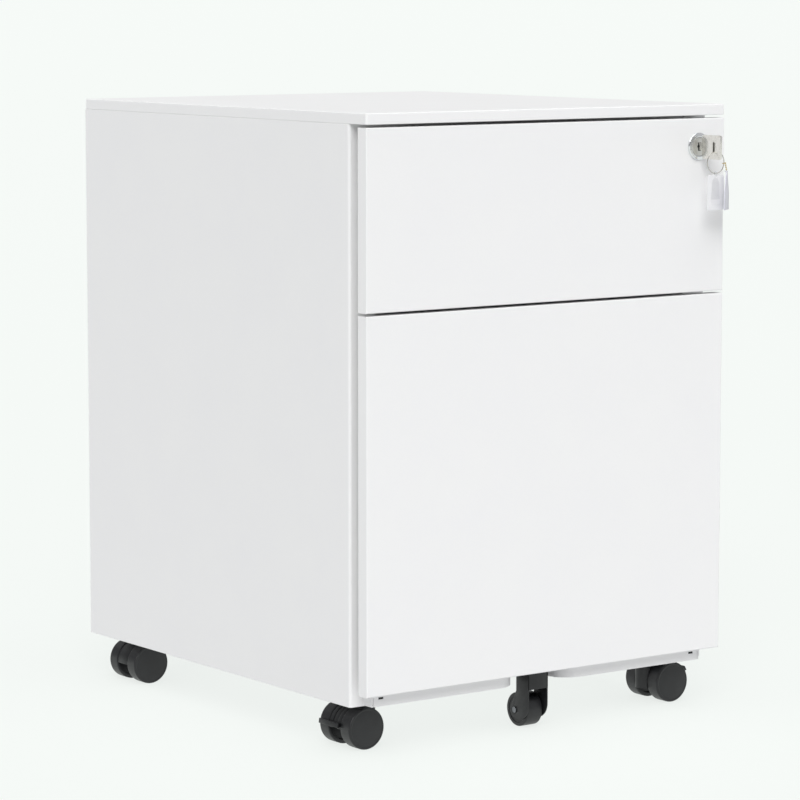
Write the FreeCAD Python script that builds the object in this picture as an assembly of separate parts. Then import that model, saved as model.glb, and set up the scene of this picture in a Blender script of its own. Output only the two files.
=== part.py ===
"""Two-drawer mobile filing pedestal: folded steel carcass, box drawer, file drawer, lock and casters.

Millimetres. +X is the user's right when facing the drawers, +Y runs to the back, +Z is up.
The design is drawn with Y = 0 on the plane of the drawer fronts. Every shape is moved by ORIGIN_SHIFT
when it is written, so that the origin lies on the floor under the middle of the overall footprint.
"""
import FreeCAD, Part
import math
import os

V = FreeCAD.Vector

# ---- overall size
WIDTH = 390.0
DEPTH = 452.0
HEIGHT = 544.0
KEY_REACH = 30.5
SCREW_HEAD = 1.6
HALF = WIDTH / 2
ORIGIN_SHIFT = V(0, (KEY_REACH - DEPTH - SCREW_HEAD) / 2, 0)

# ---- sheet metal
SHEET = 1.0
CAP_HEIGHT = 9.5
CAP_RETURN = 14.0
FOLD_RADIUS = 2.0
SIDE_FOLD_RADIUS = 2.5
SOFT_EDGE = 1.0
SEAM_EDGE = 0.6
CAP_UNDER = HEIGHT - CAP_HEIGHT

# ---- drawer fronts
FRONT_THICK = 12.3
GAP_UNDER_CAP = 2.6
GAP_BETWEEN = 2.4
BOX_FRONT_HEIGHT = 154.0
FILE_FRONT_HEIGHT = 322.0
BOX_FRONT_TOP = CAP_UNDER - GAP_UNDER_CAP
BOX_FRONT_BOTTOM = BOX_FRONT_TOP - BOX_FRONT_HEIGHT
FILE_FRONT_TOP = BOX_FRONT_BOTTOM - GAP_BETWEEN
FILE_FRONT_BOTTOM = FILE_FRONT_TOP - FILE_FRONT_HEIGHT

# ---- carcass
POST_FACE_Y = 25.0
POST_WIDTH = 26.0
POST_INNER_X = HALF - POST_WIDTH
POST_RETURN = 35.0
SIDE_BOTTOM = 41.0
SIDE_FLANGE = 20.0
PAN_BOTTOM = SIDE_BOTTOM + SHEET
PAN_TOP = PAN_BOTTOM + SHEET
RAIL_FACE_Y = 12.0
RAIL_HALF = 181.5
RAIL_SLIT = 0.9
RAIL_TOP = 51.0
RAIL_DEPTH_Y = 72.0
TUNNEL_HALF = 21.0
TUNNEL_END_Y = 62.0
TUNNEL_FLARE = 25.0
TOP_RAIL_HEIGHT = 13.5
TOP_RAIL_DEPTH = 18.0
UPRIGHT_Y = 400.0
UPRIGHT_DEPTH = 30.0
EASE = 0.1

# ---- trays and slides
TRAY_HALF = 156.0
TRAY_BACK_Y = 430.0
BOX_TRAY_BOTTOM = 392.0
BOX_TRAY_TOP = 500.0
FILE_TRAY_BOTTOM = 62.0
FILE_TRAY_TOP = 340.0
SLIDE_Y0 = 27.0
SLIDE_LENGTH = 400.0
SLIDE_SHEET = 1.2
BOX_SLIDE_Z = 440.0
FILE_SLIDE_Z = 210.0
CABINET_MEMBER = {"web": (167.8, 169.0), "lip": 160.0, "half": 22.5}
MIDDLE_MEMBER = {"web": (165.3, 166.5), "lip": 158.6, "half": 18.5}
DRAWER_MEMBER = {"web": (156.0, 157.2), "lip": 163.4, "half": 14.5}
FILE_RAIL_X = 158.0
FILE_RAIL_THICK = 2.0
FILE_RAIL_HEIGHT = 12.0

# ---- lock
LOCK_X = 165.0
LOCK_Z = HEIGHT - 37.0
ROSETTE_RADIUS = 12.3
ROSETTE_THICK = 1.8
PLUG_HEAD_RADIUS = 8.4
PLUG_RADIUS = 5.5
HOUSING_RADIUS = 7.5
HOUSING_LENGTH = 20.0
RUNNING = 0.05
CAM_THROW = 4.5
CAM_PIN_RADIUS = 1.25
CAM_RADIUS = 6.5
LIFT = 2 * CAM_THROW * math.sin(math.radians(45))
BAR_Y = (27.0, 29.0)
BAR_X = (173.0, 189.0)
BAR_Z = (80.0, 517.0)
BOX_CATCH_Z = (466.0, 477.0)
FILE_CATCH_Z = (288.0, 299.0)
CATCH_X = 160.5
LOCK_TAB_X = 156.8
LOCK_TAB_HALF = 5.0
STRIKER_RISE = 1.0
STRIKER_THICK = 3.0

# ---- key
BOW_Y = (-30.5, -6.0)
BOW_HALF = 10.6
KEY_THICK = 2.0
BLADE_HALF = 3.6
BLADE_END_Y = 16.0
BOW_SLOT_Y = -21.6
BOW_SLOT_WIDTH = 2.4
BOW_SLOT_HALF = 4.7
RING_RADIUS = 9.6
RING_WIRE = 1.2
RING_DROP = 5.675
RING_X = LOCK_X + 1.2
RING_Y = BOW_SLOT_Y - 0.4
TAG_THICK = 0.8
EYE_RADIUS = 1.5
EYE_WIRE = 0.7
WHITE_TAG = (19.0, 31.0)
GREY_TAG = (3.0, 18.0, 34.5)
GREY_TAG_X = RING_X + RING_RADIUS + 2.0
GREY_TAG_Y = RING_Y - 1.5
GREY_TAG_TURN = 37.0
GREY_TAG_DROP = 6.5

# ---- casters
STEM_X = 156.0
CASTER_Y = (57.5, 406.5)
TRAIL = 14.3
WHEEL_RADIUS = 18.3
WHEEL_INNER = 8.8
WHEEL_OUTER = 22.5
HOOD_HALF = 8.4
HOOD_RADIUS = 17.8
HOOD_TOP = 38.5
HOOD_SKIRT = 12.0
STEM_RADIUS = 4.0
PLATE_HALF = 12.5
AXLE_RADIUS = 3.0
LEVER_SWEEP = 22.0
LEVER_BRAKED = 8.0
LEVER_BAR_SPAN = (8.6, 19.5)
LEVER_RADII = (18.9, 21.4)
LEVER_ARM_HALF = 3.0
LEVER_GAP = 0.3
LEVER_ARM_TURN = 5.0
LEVER_WEB_TURN = 65.0
LEVER_WEB_RADII = (13.0, 17.6)

# ---- fifth wheel
FIFTH_RADIUS = 15.0
FIFTH_HALF = 8.5
FIFTH_Y = 35.0
FIFTH_Z = 15.3
FIFTH_AXLE = 2.7
FORK_HALF = 11.0
FORK_SHEET = 1.2
FORK_FACE_Y = 15.8
FORK_WALL_BOTTOM = 35.5
FORK_CHEEK_RADIUS = 14.5


def box(x, y, z):
    """Solid box between the given (low, high) pairs."""
    return Part.makeBox(x[1] - x[0], y[1] - y[0], z[1] - z[0], V(x[0], y[0], z[0]))


def rod(radius, start, end):
    """Solid round bar between two points."""
    run = end.sub(start)
    return Part.makeCylinder(radius, run.Length, start, run)


def join(*solids):
    """One solid from several that touch or overlap."""
    return solids[0].multiFuse(list(solids[1:])).removeSplitter()


def mirrored(shape):
    """The same shape on the other side of the middle plane."""
    return shape.mirror(V(0, 0, 0), V(1, 0, 0))


def prism(points, direction):
    """Solid with a straight-sided outline, pushed along a direction."""
    return Part.Face(Part.makePolygon(points + [points[0]])).extrude(direction)


def round_edges(shape, radius, wanted):
    """Fillet the edges whose middle point satisfies the test."""
    edges = [edge for edge in shape.Edges if wanted(edge)]
    return shape.makeFillet(radius, edges)


def middle(edge):
    """Middle point of an edge."""
    return edge.valueAt((edge.FirstParameter + edge.LastParameter) / 2)


def write(name, *solids):
    """Write one node, or one group of alike solids, in the object's frame."""
    shape = solids[0].copy() if len(solids) == 1 else Part.makeCompound([item.copy() for item in solids])
    shape.translate(ORIGIN_SHIFT)
    if not shape.isValid():
        raise ValueError("invalid shape in " + name)
    shape.exportStep("parts/" + name + ".step")


# ---------------------------------------------------------------- carcass
def top_cap():
    """Folded lid with a rim all round and a return flange underneath."""
    outer = box((-HALF, HALF), (0, DEPTH), (CAP_UNDER, HEIGHT))
    outer = round_edges(outer, FOLD_RADIUS, lambda edge: abs(middle(edge).z - (CAP_UNDER + HEIGHT) / 2) < 1)
    outer = round_edges(outer, SOFT_EDGE, lambda edge: abs(middle(edge).z - HEIGHT) < SHEET / 2)
    outer = round_edges(outer, SEAM_EDGE, lambda edge: abs(middle(edge).z - CAP_UNDER) < EASE)
    hollow = box((SHEET - HALF, HALF - SHEET), (SHEET, DEPTH - SHEET), (CAP_UNDER + SHEET, HEIGHT - SHEET))
    mouth = box((CAP_RETURN - HALF, HALF - CAP_RETURN), (CAP_RETURN, DEPTH - CAP_RETURN),
                (CAP_UNDER - SHEET, CAP_UNDER + 2 * SHEET))
    return outer.cut(hollow).cut(mouth)


def bar_windows():
    """Clearance windows for the lock bar's tabs, as (bottom, top) heights at rest."""
    pin_z = LOCK_Z - LIFT / 2
    return [(pin_z - LOCK_TAB_HALF, pin_z + LOCK_TAB_HALF), BOX_CATCH_Z, FILE_CATCH_Z]


def side_panel(with_windows):
    """Right-hand side: outer skin, front post with its return, and flanges at top, bottom and back."""
    back = DEPTH - SHEET
    height = (SIDE_BOTTOM, CAP_UNDER)
    skin = box((HALF - SHEET, HALF), (POST_FACE_Y, back), height)
    post = box((POST_INNER_X, HALF), (POST_FACE_Y, POST_FACE_Y + SHEET), height)
    inner = box((POST_INNER_X, POST_INNER_X + SHEET), (POST_FACE_Y, POST_FACE_Y + POST_RETURN), height)
    flange_x = (HALF - SIDE_FLANGE, HALF)
    rear = box(flange_x, (back - SHEET, back), height)
    floor = box(flange_x, (POST_FACE_Y, back), (SIDE_BOTTOM, SIDE_BOTTOM + SHEET))
    roof = box(flange_x, (POST_FACE_Y, back), (CAP_UNDER - SHEET, CAP_UNDER))
    panel = join(skin, post, inner, rear, floor, roof)
    panel = round_edges(panel, SIDE_FOLD_RADIUS, lambda edge: edge.Length > HEIGHT / 2
                        and abs(middle(edge).x - HALF) < EASE and abs(middle(edge).y - POST_FACE_Y) < EASE)
    panel = round_edges(panel, SEAM_EDGE, lambda edge: min(abs(middle(edge).z - end) for end in height) < EASE
                        and (abs(middle(edge).x - HALF) < 1 or abs(middle(edge).y - POST_FACE_Y) < SHEET / 2))
    if with_windows:
        for low, high in bar_windows():
            panel = panel.cut(box((POST_INNER_X - EASE, POST_INNER_X + SHEET + EASE),
                                  (POST_FACE_Y + SHEET, BAR_Y[1] + SHEET),
                                  (low - SHEET, high + LIFT + SHEET)))
    return panel


def back_panel():
    """Flat back, lapped over the rear flanges of the sides."""
    return box((-HALF, HALF), (DEPTH - SHEET, DEPTH), (SIDE_BOTTOM, CAP_UNDER))


def back_panel_screws():
    """Pan-head screws down both sides of the back."""
    screws = []
    x = HALF - SIDE_FLANGE / 2
    for step in range(5):
        z = SIDE_BOTTOM + 30 + step * (CAP_UNDER - SIDE_BOTTOM - 60) / 4
        for side in (-x, x):
            head = rod(3.6, V(side, DEPTH, z), V(side, DEPTH + SCREW_HEAD, z))
            screws.append(head)
    return screws


def tunnel(half, flare, end_y):
    """Clear space for the fifth wheel: straight at the back, flared at its mouth."""
    low = PAN_BOTTOM - 5
    rise = V(0, 0, RAIL_TOP - low + 5)
    mouth_y = RAIL_FACE_Y + (TUNNEL_FLARE - flare)
    straight = box((-half, half), (RAIL_FACE_Y - 5, end_y), (low, low + rise.z))
    corner = box((half - 1, half + flare), (RAIL_FACE_Y - 5, mouth_y + flare), (low, low + rise.z))
    bend = Part.makeCylinder(flare, rise.z, V(half + flare, mouth_y + flare, low))
    right = corner.cut(bend)
    return straight.fuse(right).fuse(mirrored(right))


def base_front_rail():
    """Toe rail: a lip under the file drawer that turns back into the wheel tunnel."""
    def plan(inset, low, high):
        wide = RAIL_HALF - inset
        narrow = POST_INNER_X - EASE - inset
        front = box((-wide, wide), (RAIL_FACE_Y + inset, POST_FACE_Y - EASE - inset), (low - SHEET, high))
        rear_end = RAIL_DEPTH_Y + (inset if inset else 0)
        rear = box((-narrow, narrow), (POST_FACE_Y - 2, rear_end), (low, high))
        return front.fuse(rear)
    outer = plan(0, PAN_TOP, RAIL_TOP).cut(tunnel(TUNNEL_HALF, TUNNEL_FLARE, TUNNEL_END_Y))
    inner = plan(SHEET, PAN_TOP - SHEET, RAIL_TOP - SHEET).cut(
        tunnel(TUNNEL_HALF + SHEET, TUNNEL_FLARE - SHEET, TUNNEL_END_Y + SHEET))
    rail = outer.cut(inner)
    for side in (-1, 1):
        rail = rail.cut(box((side * 172 - 2.6, side * 172 + 2.6), (RAIL_FACE_Y - 1, RAIL_FACE_Y + 2), (48, 50)))
        slit = sorted((side * (RAIL_HALF - SHEET), side * (RAIL_HALF - SHEET - RAIL_SLIT)))
        rail = rail.cut(box(slit, (RAIL_FACE_Y - 1, RAIL_FACE_Y + SHEET), (PAN_BOTTOM - 1, RAIL_TOP - SHEET)))
    return rail


def base_pan():
    """Bottom sheet, notched round the posts and the wheel tunnel."""
    z = (PAN_BOTTOM, PAN_TOP)
    wide = HALF - SHEET - EASE
    narrow = POST_INNER_X - EASE
    split = POST_FACE_Y + POST_RETURN + EASE
    front = box((-narrow, narrow), (POST_FACE_Y + SHEET, split + 1), z)
    rear = box((-wide, wide), (split, DEPTH - 2 * SHEET - EASE), z)
    return join(front, rear).cut(tunnel(TUNNEL_HALF + SHEET, TUNNEL_FLARE - SHEET, TUNNEL_END_Y + SHEET))


def top_front_rail():
    """Cross channel between the posts, just under the cap."""
    x = (EASE - POST_INNER_X, POST_INNER_X - EASE)
    y0 = POST_FACE_Y + SHEET
    top = CAP_UNDER - SHEET
    web = box(x, (y0, y0 + SHEET), (top - TOP_RAIL_HEIGHT, CAP_UNDER))
    upper = box(x, (y0, y0 + TOP_RAIL_DEPTH), (CAP_UNDER - SHEET, CAP_UNDER))
    lower = box(x, (y0, y0 + TOP_RAIL_DEPTH), (top - TOP_RAIL_HEIGHT, top - TOP_RAIL_HEIGHT + SHEET))
    return join(web, upper, lower)


def rear_upright():
    """Right-hand rear channel that carries the back ends of the slides."""
    z = (PAN_TOP, CAP_UNDER - SHEET)
    x = (POST_INNER_X, HALF - SHEET)
    web = box((POST_INNER_X, POST_INNER_X + SHEET), (UPRIGHT_Y, UPRIGHT_Y + UPRIGHT_DEPTH), z)
    near = box(x, (UPRIGHT_Y, UPRIGHT_Y + SHEET), z)
    far = box(x, (UPRIGHT_Y + UPRIGHT_DEPTH - SHEET, UPRIGHT_Y + UPRIGHT_DEPTH), z)
    return join(web, near, far)


# ---------------------------------------------------------------- drawers
def drawer_front(bottom, top, lock_hole):
    """Folded front: a shallow pan open at the back, its face edges slightly rounded."""
    pan = box((-HALF, HALF), (0, FRONT_THICK), (bottom, top))
    pan = round_edges(pan, SOFT_EDGE, lambda edge: abs(middle(edge).y) < EASE)
    pan = pan.cut(box((SHEET - HALF, HALF - SHEET), (SHEET, FRONT_THICK + 1), (bottom + SHEET, top - SHEET)))
    return pan.cut(lock_bore()) if lock_hole else pan


def drawer_liner(bottom, top, lock_hole):
    """Inner plate that closes the back of a drawer front."""
    x = HALF - SHEET
    plate = box((-x, x), (FRONT_THICK - SHEET, FRONT_THICK), (bottom + SHEET, top - SHEET))
    return plate.cut(lock_bore()) if lock_hole else plate


def lock_bore():
    """Hole for the lock housing through the front and its liner."""
    return rod(HOUSING_RADIUS, V(LOCK_X, -1, LOCK_Z), V(LOCK_X, FRONT_THICK + 1, LOCK_Z))


def drawer_tray(bottom, top):
    """Open tray behind a drawer front."""
    outer = box((-TRAY_HALF, TRAY_HALF), (FRONT_THICK, TRAY_BACK_Y), (bottom, top))
    inner = box((SHEET - TRAY_HALF, TRAY_HALF - SHEET), (FRONT_THICK + SHEET, TRAY_BACK_Y - SHEET),
                (bottom + SHEET, top + 1))
    return outer.cut(inner)


def file_tray():
    """Deep tray with an outward ledge on each side for the hanging-file rails."""
    tray = drawer_tray(FILE_TRAY_BOTTOM, FILE_TRAY_TOP)
    ledge = box((TRAY_HALF - SHEET, FILE_RAIL_X + FILE_RAIL_THICK + 1), (FRONT_THICK, TRAY_BACK_Y),
                (FILE_TRAY_TOP - SHEET, FILE_TRAY_TOP))
    tray = join(tray, ledge, mirrored(ledge))
    for x, y in fifth_wheel_screw_places():
        tray = tray.cut(rod(2.0, V(x, y, FILE_TRAY_BOTTOM - 1), V(x, y, FILE_TRAY_BOTTOM + 2)))
    return tray


def file_rail():
    """Right-hand rail that hanging files hook over."""
    rail = box((FILE_RAIL_X, FILE_RAIL_X + FILE_RAIL_THICK), (FRONT_THICK + 6, TRAY_BACK_Y - 6),
               (FILE_TRAY_TOP, FILE_TRAY_TOP + FILE_RAIL_HEIGHT))
    return round_edges(rail, 0.8, lambda edge: edge.Length > DEPTH / 2
                       and middle(edge).z > FILE_TRAY_TOP + FILE_RAIL_HEIGHT - EASE)


def slide_member(member, z):
    """Right-hand slide member: a channel with its web towards what carries it."""
    low_x, high_x = member["web"]
    half = member["half"]
    y = (SLIDE_Y0, SLIDE_Y0 + SLIDE_LENGTH)
    web = box((low_x, high_x), y, (z - half, z + half))
    lip_x = (min(low_x, member["lip"]), max(high_x, member["lip"]))
    upper = box(lip_x, y, (z + half - SLIDE_SHEET, z + half))
    lower = box(lip_x, y, (z - half, z - half + SLIDE_SHEET))
    return join(web, upper, lower)


def striker(catch):
    """Small block on the tray's side that the raised lock bar stands in front of."""
    low = catch[1] + STRIKER_RISE
    return box((TRAY_HALF, TRAY_HALF + 8), (BAR_Y[1] + 1.5, BAR_Y[1] + 11.5), (low, low + STRIKER_THICK))


# ---------------------------------------------------------------- lock and key
def on_lock(y):
    """Point on the lock's axis."""
    return V(LOCK_X, y, LOCK_Z)


def lock_rosette():
    """Bright ring round the lock on the drawer front."""
    ring = rod(ROSETTE_RADIUS, on_lock(-ROSETTE_THICK), on_lock(0))
    ring = round_edges(ring, 0.8, lambda edge: abs(edge.Length - 2 * math.pi * ROSETTE_RADIUS) < EASE
                       and middle(edge).y < -ROSETTE_THICK / 2)
    return ring.cut(rod(PLUG_HEAD_RADIUS + RUNNING, on_lock(-ROSETTE_THICK - 1), on_lock(1)))


def lock_housing():
    """Tube through the drawer front that the plug turns in."""
    tube = rod(HOUSING_RADIUS, on_lock(0), on_lock(HOUSING_LENGTH))
    return tube.cut(rod(PLUG_RADIUS + RUNNING, on_lock(-1), on_lock(HOUSING_LENGTH + 1)))


def lock_plug():
    """Turning core with its wide head and a keyway."""
    head = rod(PLUG_HEAD_RADIUS, on_lock(-1.5), on_lock(-RUNNING))
    core = rod(PLUG_RADIUS, on_lock(-1), on_lock(HOUSING_LENGTH + RUNNING))
    slot = (KEY_THICK + 2 * EASE) / 2
    keyway = box((LOCK_X - slot, LOCK_X + slot), (-2, BLADE_END_Y + 1),
                 (LOCK_Z - BLADE_HALF - EASE, LOCK_Z + BLADE_HALF + EASE))
    return join(head, core).cut(keyway)


def lock_cam():
    """Disc behind the plug with the crank pin that lifts the lock bar."""
    start = HOUSING_LENGTH + RUNNING
    disc = rod(CAM_RADIUS, on_lock(start), on_lock(start + 2))
    offset = CAM_THROW * math.sin(math.radians(45))
    pin = rod(CAM_PIN_RADIUS, V(LOCK_X - offset, start + 1, LOCK_Z - offset),
              V(LOCK_X - offset, BAR_Y[1] + 2, LOCK_Z - offset))
    return join(disc, pin)


def lock_bar():
    """Flat bar in the right-hand post, with a slotted tab for the cam and a catch for each drawer."""
    bar = box(BAR_X, BAR_Y, BAR_Z)
    pin_z = LOCK_Z - LIFT / 2
    tab = box((LOCK_TAB_X, BAR_X[0]), BAR_Y, (pin_z - LOCK_TAB_HALF, pin_z + LOCK_TAB_HALF))
    catches = [box((CATCH_X, BAR_X[0]), BAR_Y, heights) for heights in (BOX_CATCH_Z, FILE_CATCH_Z)]
    play = CAM_PIN_RADIUS + 0.35
    near = LOCK_X - CAM_THROW
    far = LOCK_X - CAM_THROW * math.cos(math.radians(45))
    slot = box((near - play, far + play), (BAR_Y[0] - 1, BAR_Y[1] + 1), (pin_z - play, pin_z + play))
    return join(bar, tab, *catches).cut(slot)


def lock_bar_guides():
    """Two clips that hold the lock bar against the post."""
    guides = []
    for z in (120.0, 400.0):
        clip = box((BAR_X[0] - 1.5, BAR_X[1] + 1.5), (POST_FACE_Y + SHEET, BAR_Y[1] + 1.6), (z, z + 12))
        hollow = box((BAR_X[0] - 0.3, BAR_X[1] + 0.3), (POST_FACE_Y, BAR_Y[1] + 0.4), (z - 1, z + 13))
        guides.append(clip.cut(hollow))
    return guides


def key():
    """Flat key: rectangular bow with a ring slot, and a blade in the keyway."""
    x = (LOCK_X - KEY_THICK / 2, LOCK_X + KEY_THICK / 2)
    bow = box(x, BOW_Y, (LOCK_Z - BOW_HALF, LOCK_Z + BOW_HALF))
    bow = round_edges(bow, 2.0, lambda edge: abs(middle(edge).x - LOCK_X) < EASE)
    blade = box(x, (BOW_Y[1] - 1, BLADE_END_Y), (LOCK_Z - BLADE_HALF, LOCK_Z + BLADE_HALF))
    half = BOW_SLOT_WIDTH / 2
    slot = box((x[0] - 1, x[1] + 1), (BOW_SLOT_Y - half, BOW_SLOT_Y + half),
               (LOCK_Z - BOW_SLOT_HALF, LOCK_Z + BOW_SLOT_HALF))
    return join(bow, blade).cut(slot)


def ring_centre_z():
    """Height of the key ring's centre: it hangs on the bow's lower bridge."""
    bridge = LOCK_Z - (BOW_HALF + BOW_SLOT_HALF) / 2
    return bridge - RING_DROP


def key_ring():
    """Wire ring through the bow's slot, facing forwards."""
    return Part.makeTorus(RING_RADIUS, RING_WIRE / 2, V(RING_X, RING_Y, ring_centre_z()), V(0, 1, 0))


def white_tag():
    """Square-cornered tag that hangs from a wire eye round the bottom of the ring."""
    eye_z = ring_centre_z() - RING_RADIUS
    eye = Part.makeTorus(EYE_RADIUS, EYE_WIRE / 2, V(RING_X, RING_Y, eye_z), V(1, 0, 0))
    top = eye_z - EYE_RADIUS
    half = WHITE_TAG[0] / 2
    plate = box((RING_X - half, RING_X + half), (RING_Y - TAG_THICK / 2, RING_Y + TAG_THICK / 2),
                (top - WHITE_TAG[1], top))
    plate = round_edges(plate, 2.0, lambda edge: abs(middle(edge).y - RING_Y) < EASE / 2)
    return join(plate, eye)


def grey_tag():
    """Tapered tag on a small link at the right of the ring, turned nearly square to the first tag."""
    eye_z = ring_centre_z() - 1.0
    top = eye_z - GREY_TAG_DROP
    eye_x = RING_X + RING_RADIUS
    eye = Part.makeTorus(EYE_RADIUS, EYE_WIRE / 2, V(eye_x, RING_Y, eye_z), V(0, 0, 1))
    link = box((eye_x + EYE_RADIUS - EYE_WIRE / 2, GREY_TAG_X + 0.8), (GREY_TAG_Y - 0.8, RING_Y + 0.6),
               (top - 1, eye_z + 1))
    narrow, wide, height = GREY_TAG
    outline = [V(-narrow / 2, -TAG_THICK / 2, 0), V(narrow / 2, -TAG_THICK / 2, 0),
               V(wide / 2, -TAG_THICK / 2, -height * 0.55), V(wide / 2, -TAG_THICK / 2, -height),
               V(-wide / 2, -TAG_THICK / 2, -height), V(-wide / 2, -TAG_THICK / 2, -height * 0.55)]
    plate = prism(outline, V(0, TAG_THICK, 0))
    plate.rotate(V(0, 0, 0), V(0, 0, 1), GREY_TAG_TURN)
    plate.translate(V(GREY_TAG_X, GREY_TAG_Y, top))
    return join(eye, link, plate)


# ---------------------------------------------------------------- casters
def caster_hood(x, y, trail, with_lever):
    """Fork between the two wheels: a round-nosed block with bores for the stem and the axle."""
    axle_x = x + trail * TRAIL
    axle_z = WHEEL_RADIUS
    half = (y - HOOD_HALF, y + HOOD_HALF)
    nose = rod(HOOD_RADIUS, V(axle_x, half[0], axle_z), V(axle_x, half[1], axle_z))
    nose = nose.common(box((axle_x - 30, axle_x + 30), half, (axle_z - 1, HOOD_TOP)))
    span = sorted((x, axle_x))
    bridge = box(span, half, (HOOD_SKIRT, axle_z + HOOD_RADIUS))
    collar = rod(HOOD_HALF, V(x, y, HOOD_SKIRT), V(x, y, HOOD_TOP))
    hood = join(nose, bridge, collar)
    hood = hood.cut(rod(STEM_RADIUS + RUNNING, V(x, y, 21.6), V(x, y, HOOD_TOP + 1)))
    hood = hood.cut(rod(AXLE_RADIUS, V(axle_x, half[0] - 1, axle_z), V(axle_x, half[1] + 1, axle_z)))
    if with_lever:
        clear = LEVER_ARM_HALF + LEVER_GAP
        slot = (y - clear, y + clear)
        raised = LEVER_BRAKED + LEVER_SWEEP + LEVER_ARM_TURN
        room = rod(6.2, V(axle_x, slot[0], axle_z), V(axle_x, slot[1], axle_z))
        arm_slot = band(axle_x, 0.0, 30.0, (-6.0, raised + 1.0), slot, trail)
        web_slot = band(axle_x, LEVER_WEB_RADII[0] - LEVER_GAP, 18.4, (raised, raised + LEVER_WEB_TURN + 1.0),
                        slot, trail)
        hood = hood.cut(room).cut(arm_slot).cut(web_slot)
    return hood


def wedge(x, z, radius, start, end, trail):
    """Flat circular sector in the XZ plane; angles rise from the horizontal on the trailing side."""
    def rim(angle):
        turn = math.radians(angle)
        return V(x + trail * radius * math.cos(turn), 0, z + radius * math.sin(turn))
    arc = Part.Arc(rim(start), rim((start + end) / 2), rim(end)).toShape()
    centre = V(x, 0, z)
    sides = [Part.makeLine(centre, rim(start)), arc, Part.makeLine(rim(end), centre)]
    return Part.Face(Part.Wire(sides))


def band(x, inner, outer, turn, y, trail):
    """Part of a ring about a wheel's axis, between two angles and two (low, high) places along Y."""
    ring = wedge(x, WHEEL_RADIUS, outer, turn[0], turn[1], trail).extrude(V(0, y[1] - y[0], 0))
    ring.translate(V(0, y[0], 0))
    if inner:
        ring = ring.cut(rod(inner, V(x, y[0] - 1, WHEEL_RADIUS), V(x, y[1] + 1, WHEEL_RADIUS)))
    return ring


def caster_wheel(x, y, side):
    """One disc wheel with a blind bore; side is -1 for the front one and 1 for the rear one."""
    inner = y + side * WHEEL_INNER
    outer = y + side * WHEEL_OUTER
    wheel = rod(WHEEL_RADIUS, V(x, inner, WHEEL_RADIUS), V(x, outer, WHEEL_RADIUS))
    wheel = round_edges(wheel, 1.5, lambda edge: abs(middle(edge).y - outer) < EASE and edge.Length > 20)
    return wheel.cut(rod(AXLE_RADIUS + RUNNING, V(x, inner - side, WHEEL_RADIUS),
                         V(x, outer - 1.2 * side, WHEEL_RADIUS)))


def caster_axle(x, y):
    """Steel pin through the hood into both wheels."""
    reach = WHEEL_OUTER - 1.5
    return rod(AXLE_RADIUS, V(x, y - reach, WHEEL_RADIUS), V(x, y + reach, WHEEL_RADIUS))


def brake_lever(x, y, trail, angle):
    """Foot lever that turns on the axle: a bar over one wheel, an arm, and a web that closes the hood's slot."""
    span = sorted((y + trail * LEVER_BAR_SPAN[0], y - trail * LEVER_BAR_SPAN[1]))
    mid = (y - LEVER_ARM_HALF, y + LEVER_ARM_HALF)
    bar = band(x, LEVER_RADII[0], LEVER_RADII[1], (angle - 6, angle + 6), span, trail)
    arm = band(x, 5.0, 19.5, (angle - LEVER_ARM_TURN, angle + LEVER_ARM_TURN), mid, trail)
    web = band(x, LEVER_WEB_RADII[0], LEVER_WEB_RADII[1], (angle, angle + LEVER_ARM_TURN + LEVER_WEB_TURN), mid,
               trail)
    hub = rod(5.5, V(x, mid[0], WHEEL_RADIUS), V(x, mid[1], WHEEL_RADIUS))
    bore = rod(AXLE_RADIUS + RUNNING, V(x, y - 9, WHEEL_RADIUS), V(x, y + 9, WHEEL_RADIUS))
    return join(bar, arm, web, hub).cut(bore)


def caster_stem(x, y):
    """Threaded stem fixed in the base pan."""
    return rod(STEM_RADIUS, V(x, y, 22.0), V(x, y, 49.5))


def caster_plate(x, y):
    """Square stiffener under the base pan round a stem."""
    half = PLATE_HALF
    plate = box((x - half, x + half), (y - half, y + half), (PAN_BOTTOM - 1.5, PAN_BOTTOM))
    return plate.cut(rod(STEM_RADIUS, V(x, y, PAN_BOTTOM - 3), V(x, y, PAN_BOTTOM + 1)))


def hex_nut(x, y):
    """Nut on a caster stem, on top of the base pan."""
    corners = [V(x + 7.5 * math.cos(math.radians(60 * turn)), y + 7.5 * math.sin(math.radians(60 * turn)), PAN_TOP)
               for turn in range(6)]
    return prism(corners, V(0, 0, 5.0)).cut(rod(STEM_RADIUS, V(x, y, PAN_TOP - 1), V(x, y, PAN_TOP + 6)))


# ---------------------------------------------------------------- fifth wheel
def fifth_wheel_screw_places():
    """Middle points of the bracket's two screws."""
    return [(-9.0, 54.0), (9.0, 54.0)]


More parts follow.
